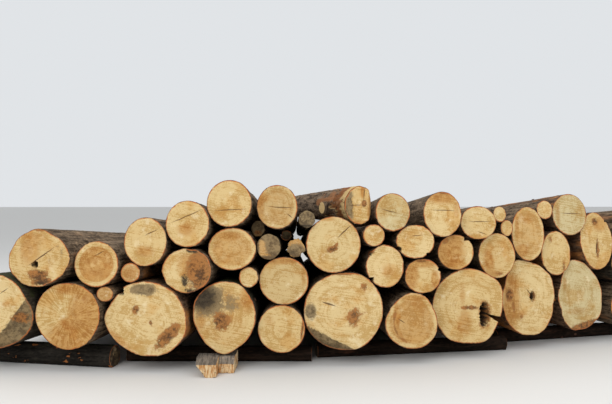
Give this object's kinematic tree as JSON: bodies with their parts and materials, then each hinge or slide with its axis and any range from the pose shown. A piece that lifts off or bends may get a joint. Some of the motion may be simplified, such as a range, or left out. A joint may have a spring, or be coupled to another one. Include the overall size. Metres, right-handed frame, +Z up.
{
  "type": "log stack",
  "caption": "Stack of felled round logs of mixed thickness, sawn ends to the front, nested row on row and resting on low bearers",
  "frame": {"origin": "middle of the box's base, on the ground", "axes": "+X along the stack to the right as the picture shows it, +Y back along the logs, +Z up"},
  "size_m": [7.5992, 5.1242, 1.8358],
  "materials": {
    "bearer": "damp mossy bark, rough cut ends",
    "log": "weathered sawn ends with a thin rough bark on the sides",
    "offcut": "dirty split wood"
  },
  "bodies": {
    "root": {"bearer_1": "bearer", "bearer_2": "bearer", "bearer_3": "bearer", "bearer_4": "bearer", "bottom_1": "log", "bottom_10": "log", "bottom_11": "log", "bottom_2": "log", "bottom_3": "log", "bottom_4": "log", "bottom_5": "log", "bottom_6": "log", "bottom_7": "log", "bottom_8": "log", "bottom_9": "log", "middle_1": "log", "middle_10": "log", "middle_11": "log", "middle_12": "log", "middle_13": "log", "middle_14": "log", "middle_2": "log", "middle_3": "log", "middle_4": "log", "middle_5": "log", "middle_6": "log", "middle_7": "log", "middle_8": "log", "middle_9": "log", "offcut_1": "offcut", "offcut_2": "offcut", "rear_bearer_1": "bearer", "rear_bearer_2": "bearer", "rear_bearer_3": "bearer", "small_1": "log", "small_10": "log", "small_11": "log", "small_12": "log", "small_2": "log", "small_3": "log", "small_4": "log", "small_5": "log", "small_6": "log", "small_7": "log", "small_8": "log", "small_9": "log", "top_1": "log", "top_10": "log", "top_11": "log", "top_2": "log", "top_3": "log", "top_4": "log", "top_5": "log", "top_6": "log", "top_7": "log", "top_8": "log", "top_9": "log"}
  },
  "joints": []
}
